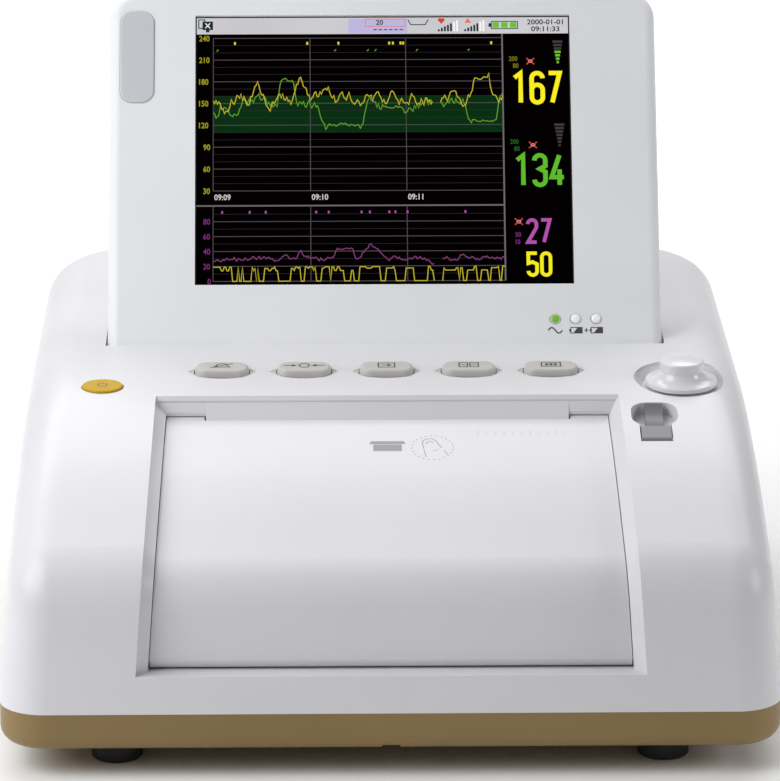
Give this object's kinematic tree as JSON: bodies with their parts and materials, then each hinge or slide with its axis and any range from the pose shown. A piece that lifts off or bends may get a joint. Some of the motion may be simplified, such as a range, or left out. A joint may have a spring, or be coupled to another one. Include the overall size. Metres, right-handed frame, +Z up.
{
  "type": "fetal monitor",
  "caption": "Desktop fetal monitor with a fold-down display, sloping key deck, push knob and a chart recorder under a curved front door.",
  "frame": {"origin": "centre of the footprint, on the table under the feet", "axes": "+X to the right of the person in front, +Y to the back, +Z up"},
  "size_m": [0.332, 0.368, 0.2834],
  "materials": {
    "white_shell": "glossy moulded, slightly warm white",
    "tan_base": "satin bronze paint on moulded plastic",
    "bezel_grey": "fine satin grain",
    "screen_cover": "glossy moulded",
    "door_white": "glossy moulded, faintly translucent",
    "key_grey": "satin warm grey",
    "power_gold": "satin orange gold",
    "knob_silver": "glossy silver white",
    "latch_grey": "satin mid grey",
    "rubber": "matt black",
    "display_glass": "clear cover over a dark display",
    "lamp_lens": "frosted translucent grey",
    "indicator": "clear light pipe",
    "steel": "plain bright steel",
    "aluminium": "bare",
    "brass": "plated",
    "circuit_board": "green solder mask",
    "dark_plastic": "black moulded",
    "grey_plastic": "mid grey moulded",
    "gear_plastic": "natural acetal",
    "battery_wrap": "shrink wrap"
  },
  "bodies": {
    "base": {"upper_housing": "white_shell", "lower_housing": "tan_base", "rubber_feet": "rubber", "case_screws": "steel", "screen_hinge_pins": "steel", "keypad_board": "circuit_board", "key_switches": "dark_plastic", "power_switch_board": "circuit_board", "encoder_body": "dark_plastic", "latch_pin": "steel", "door_hinge_pins": "steel", "paper_tray": "grey_plastic", "recorder_chassis": "steel", "platen_bushes": "brass", "idler_stud": "steel", "recorder_motor": "steel", "print_head": "aluminium", "tear_bar": "steel", "main_board": "circuit_board", "board_screws": "steel", "power_supply": "aluminium", "battery_pack": "battery_wrap", "battery_cover": "tan_base", "battery_screws": "steel", "loudspeaker": "dark_plastic", "connector_panel": "grey_plastic", "transducer_sockets": "dark_plastic", "rear_panel": "grey_plastic", "mains_inlet": "dark_plastic", "network_socket": "steel", "equipotential_post": "brass"},
    "screen": {"screen_bezel": "bezel_grey", "screen_rear_cover": "screen_cover", "screen_screws": "steel", "lcd_glass": "display_glass", "lcd_module": "aluminium", "display_board": "circuit_board", "alarm_lamp_lens": "lamp_lens", "alarm_lamp_board": "circuit_board", "status_indicators": "indicator", "indicator_board": "circuit_board"},
    "power_button": {"power_key": "power_gold"},
    "knob_plunger": {"encoder_plunger": "steel"},
    "knob": {"encoder_knob": "knob_silver", "encoder_shaft": "steel"},
    "latch": {"door_latch": "latch_grey"},
    "door": {"recorder_door": "door_white"},
    "platen": {"platen_roller": "rubber", "platen_shaft": "steel", "platen_gear": "gear_plastic"},
    "idler": {"idler_gear": "gear_plastic"},
    "motor_rotor": {"motor_shaft": "steel", "motor_pinion": "brass"},
    "key_1": {"function_key_1": "key_grey"},
    "key_2": {"function_key_2": "key_grey"},
    "key_3": {"function_key_3": "key_grey"},
    "key_4": {"function_key_4": "key_grey"},
    "key_5": {"function_key_5": "key_grey"}
  },
  "joints": [
    {"name": "screen_tilt", "type": "hinge", "parent": "base", "child": "screen", "pos_m": [0, -0.0022, 0.13667], "axis": [-1, 0, 0], "range_deg": [-15, 57.6]},
    {"name": "door_hinge", "type": "hinge", "parent": "base", "child": "door", "pos_m": [0, -0.17053, 0.04965], "axis": [1, 0, 0], "range_deg": [0, 80]},
    {"name": "latch_lift", "type": "hinge", "parent": "base", "child": "latch", "pos_m": [0.116, -0.10306, 0.12398], "axis": [1, 0, 0], "range_deg": [0, 25], "stiffness_Nm_per_rad": 0.03, "springref_deg": -11.46},
    {"name": "power_press", "type": "slide", "parent": "base", "child": "power_button", "axis": [0, 0.1736, -0.9848], "range_m": [0, 0.001], "stiffness_N_per_m": 400, "springref_m": -0.001},
    {"name": "knob_press", "type": "slide", "parent": "base", "child": "knob_plunger", "axis": [0, 0.0523, -0.9986], "range_m": [0, 0.001], "stiffness_N_per_m": 600, "springref_m": -0.001},
    {"name": "knob_turn", "type": "hinge", "parent": "knob_plunger", "child": "knob", "pos_m": [0.13, -0.0536, 0.13828], "axis": [0, -0.0523, 0.9986], "continuous": true},
    {"name": "platen_turn", "type": "hinge", "parent": "base", "child": "platen", "pos_m": [0, -0.07797, 0.11054], "axis": [1, 0, 0], "continuous": true},
    {"name": "idler_turn", "type": "hinge", "parent": "base", "child": "idler", "pos_m": [0.084, -0.06877, 0.0946], "axis": [1, 0, 0], "continuous": true},
    {"name": "motor_turn", "type": "hinge", "parent": "base", "child": "motor_rotor", "pos_m": [0.084, -0.06116, 0.08144], "axis": [1, 0, 0], "continuous": true},
    {"name": "key_1_press", "type": "slide", "parent": "base", "child": "key_1", "axis": [0, 0.1184, -0.993], "range_m": [0, 0.001], "stiffness_N_per_m": 400, "springref_m": -0.001},
    {"name": "key_2_press", "type": "slide", "parent": "base", "child": "key_2", "axis": [0, 0.1184, -0.993], "range_m": [0, 0.001], "stiffness_N_per_m": 400, "springref_m": -0.001},
    {"name": "key_3_press", "type": "slide", "parent": "base", "child": "key_3", "axis": [0, 0.1184, -0.993], "range_m": [0, 0.001], "stiffness_N_per_m": 400, "springref_m": -0.001},
    {"name": "key_4_press", "type": "slide", "parent": "base", "child": "key_4", "axis": [0, 0.1184, -0.993], "range_m": [0, 0.001], "stiffness_N_per_m": 400, "springref_m": -0.001},
    {"name": "key_5_press", "type": "slide", "parent": "base", "child": "key_5", "axis": [0, 0.1184, -0.993], "range_m": [0, 0.001], "stiffness_N_per_m": 400, "springref_m": -0.001}
  ],
  "couplings": [
    {"joint": "idler_turn", "follows": "platen_turn", "ratio": -0.76923},
    {"joint": "motor_turn", "follows": "platen_turn", "ratio": 1.6667}
  ]
}
